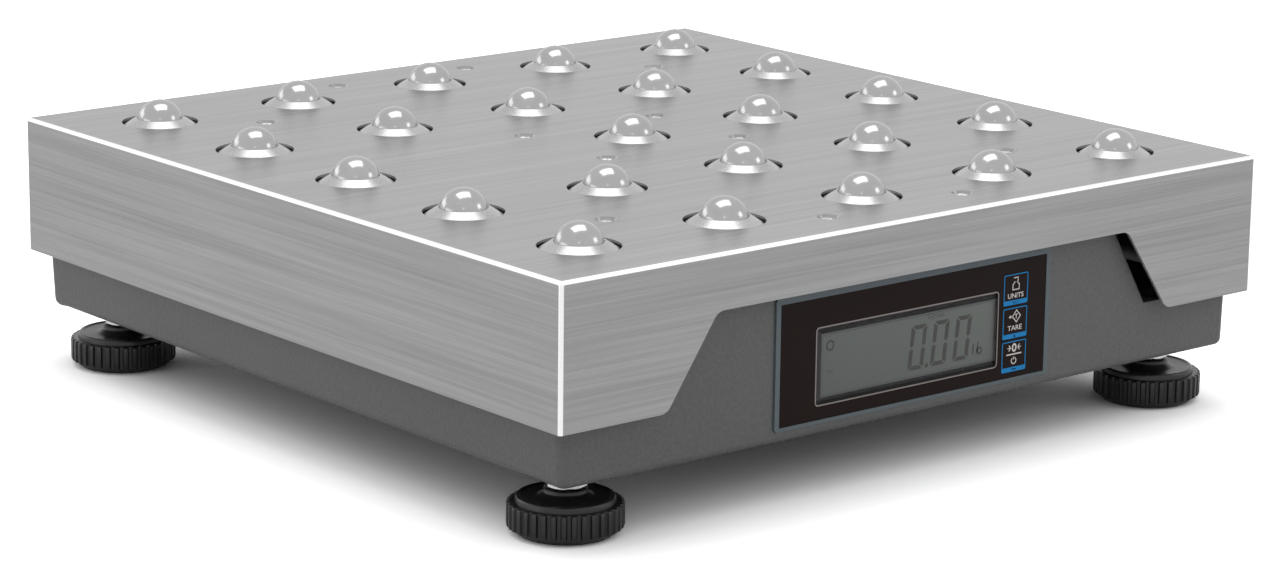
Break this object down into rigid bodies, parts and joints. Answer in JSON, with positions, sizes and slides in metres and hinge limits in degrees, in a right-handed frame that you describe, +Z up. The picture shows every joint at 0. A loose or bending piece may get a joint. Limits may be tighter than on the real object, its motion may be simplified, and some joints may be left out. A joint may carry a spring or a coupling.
{
  "type": "shipping scale",
  "caption": "Low bench scale for parcels with a brushed steel ball-transfer top, a cast base with a front display and keys, and four levelling feet.",
  "frame": {"origin": "on the floor, under the middle of the platter", "axes": "+Z up, +X to the right and -Y to the front, where the display is"},
  "size_m": [0.3556, 0.3556, 0.1119],
  "materials": {
    "brushed_stainless": "brushed in one direction",
    "steel": "plain",
    "ball_steel": "polished",
    "zinc_steel": "zinc plated",
    "hammer_paint": "grey hammer finish",
    "aluminium": "machined or cast",
    "black_plastic": "moulded, semi-matte",
    "rubber": "matte",
    "bezel_plastic": "blue-grey, satin",
    "overlay": "dark printed film",
    "key_film": "dark film with a blue edge",
    "clear_plastic": "clear",
    "lcd": "grey-green reflective display",
    "circuit_board": "green solder mask",
    "level_liquid": "clear liquid in a plastic case"
  },
  "bodies": {
    "base": {"base_casting": "hammer_paint", "jam_nuts": "zinc_steel", "load_cell": "aluminium", "cell_base_spacer": "steel", "cell_top_spacer": "steel", "cell_base_screws": "zinc_steel", "cell_top_screws": "zinc_steel", "spider": "aluminium", "spider_pads": "rubber", "overload_stops": "zinc_steel", "stop_nuts": "zinc_steel", "display_bezel": "bezel_plastic", "overlay_panel": "overlay", "display_lens": "clear_plastic", "display_carrier": "black_plastic", "lcd_module": "lcd", "display_board": "circuit_board", "display_board_screws": "zinc_steel", "key_switches": "black_plastic", "display_cover": "steel", "main_board": "circuit_board", "main_board_screws": "zinc_steel", "rear_plate": "aluminium", "rear_plate_screws": "zinc_steel", "data_port": "black_plastic", "power_jack": "black_plastic", "bubble_level": "level_liquid"},
    "platter": {"platter_shroud": "brushed_stainless", "ball_carrier": "steel", "platter_rivets": "zinc_steel", "ball_cups": "steel", "ball_collars": "steel"},
    "ball_row_1": {"ball_row_1": "ball_steel"},
    "ball_row_2": {"ball_row_2": "ball_steel"},
    "ball_row_3": {"ball_row_3": "ball_steel"},
    "ball_row_4": {"ball_row_4": "ball_steel"},
    "ball_row_5": {"ball_row_5": "ball_steel"},
    "units_key": {"units_key": "key_film"},
    "tare_key": {"tare_key": "key_film"},
    "zero_key": {"zero_key": "key_film"},
    "stud_front_left": {"foot_stud_front_left": "zinc_steel"},
    "knob_front_left": {"foot_knob_front_left": "black_plastic"},
    "stud_front_right": {"foot_stud_front_right": "zinc_steel"},
    "knob_front_right": {"foot_knob_front_right": "black_plastic"},
    "stud_rear_left": {"foot_stud_rear_left": "zinc_steel"},
    "knob_rear_left": {"foot_knob_rear_left": "black_plastic"},
    "stud_rear_right": {"foot_stud_rear_right": "zinc_steel"},
    "knob_rear_right": {"foot_knob_rear_right": "black_plastic"}
  },
  "joints": [
    {"name": "platter_lift", "type": "slide", "parent": "base", "child": "platter", "axis": [0, 0, 1], "range_m": [0, 0.07]},
    {"name": "ball_row_1_roll", "type": "hinge", "parent": "platter", "child": "ball_row_1", "pos_m": [0, -0.138, 0.10237], "axis": [1, 0, 0], "continuous": true},
    {"name": "ball_row_2_roll", "type": "hinge", "parent": "platter", "child": "ball_row_2", "pos_m": [0, -0.069, 0.10237], "axis": [1, 0, 0], "continuous": true},
    {"name": "ball_row_3_roll", "type": "hinge", "parent": "platter", "child": "ball_row_3", "pos_m": [0, 0, 0.10237], "axis": [1, 0, 0], "continuous": true},
    {"name": "ball_row_4_roll", "type": "hinge", "parent": "platter", "child": "ball_row_4", "pos_m": [0, 0.069, 0.10237], "axis": [1, 0, 0], "continuous": true},
    {"name": "ball_row_5_roll", "type": "hinge", "parent": "platter", "child": "ball_row_5", "pos_m": [0, 0.138, 0.10237], "axis": [1, 0, 0], "continuous": true},
    {"name": "units_key_press", "type": "slide", "parent": "base", "child": "units_key", "axis": [0, 1, 0], "range_m": [0, 0.0004], "stiffness_N_per_m": 2000, "springref_m": -0.0003},
    {"name": "tare_key_press", "type": "slide", "parent": "base", "child": "tare_key", "axis": [0, 1, 0], "range_m": [0, 0.0004], "stiffness_N_per_m": 2000, "springref_m": -0.0003},
    {"name": "zero_key_press", "type": "slide", "parent": "base", "child": "zero_key", "axis": [0, 1, 0], "range_m": [0, 0.0004], "stiffness_N_per_m": 2000, "springref_m": -0.0003},
    {"name": "knob_front_left_turn", "type": "hinge", "parent": "stud_front_left", "child": "knob_front_left", "pos_m": [-0.1514, -0.1481, 0.01], "axis": [0, 0, 1], "range_deg": [0, 1360]},
    {"name": "stud_front_left_screw", "type": "slide", "parent": "base", "child": "stud_front_left", "axis": [0, 0, -1], "range_m": [0, 0.006]},
    {"name": "knob_front_right_turn", "type": "hinge", "parent": "stud_front_right", "child": "knob_front_right", "pos_m": [0.1514, -0.1481, 0.01], "axis": [0, 0, 1], "range_deg": [0, 1360]},
    {"name": "stud_front_right_screw", "type": "slide", "parent": "base", "child": "stud_front_right", "axis": [0, 0, -1], "range_m": [0, 0.006]},
    {"name": "knob_rear_left_turn", "type": "hinge", "parent": "stud_rear_left", "child": "knob_rear_left", "pos_m": [-0.1514, 0.1481, 0.01], "axis": [0, 0, 1], "range_deg": [0, 1360]},
    {"name": "stud_rear_left_screw", "type": "slide", "parent": "base", "child": "stud_rear_left", "axis": [0, 0, -1], "range_m": [0, 0.006]},
    {"name": "knob_rear_right_turn", "type": "hinge", "parent": "stud_rear_right", "child": "knob_rear_right", "pos_m": [0.1514, 0.1481, 0.01], "axis": [0, 0, 1], "range_deg": [0, 1360]},
    {"name": "stud_rear_right_screw", "type": "slide", "parent": "base", "child": "stud_rear_right", "axis": [0, 0, -1], "range_m": [0, 0.006]}
  ],
  "couplings": [
    {"joint": "knob_front_left_turn", "follows": "stud_front_left_screw", "rad_per_m": 3957.9},
    {"joint": "knob_front_right_turn", "follows": "stud_front_right_screw", "rad_per_m": 3957.9},
    {"joint": "knob_rear_left_turn", "follows": "stud_rear_left_screw", "rad_per_m": 3957.9},
    {"joint": "knob_rear_right_turn", "follows": "stud_rear_right_screw", "rad_per_m": 3957.9}
  ]
}
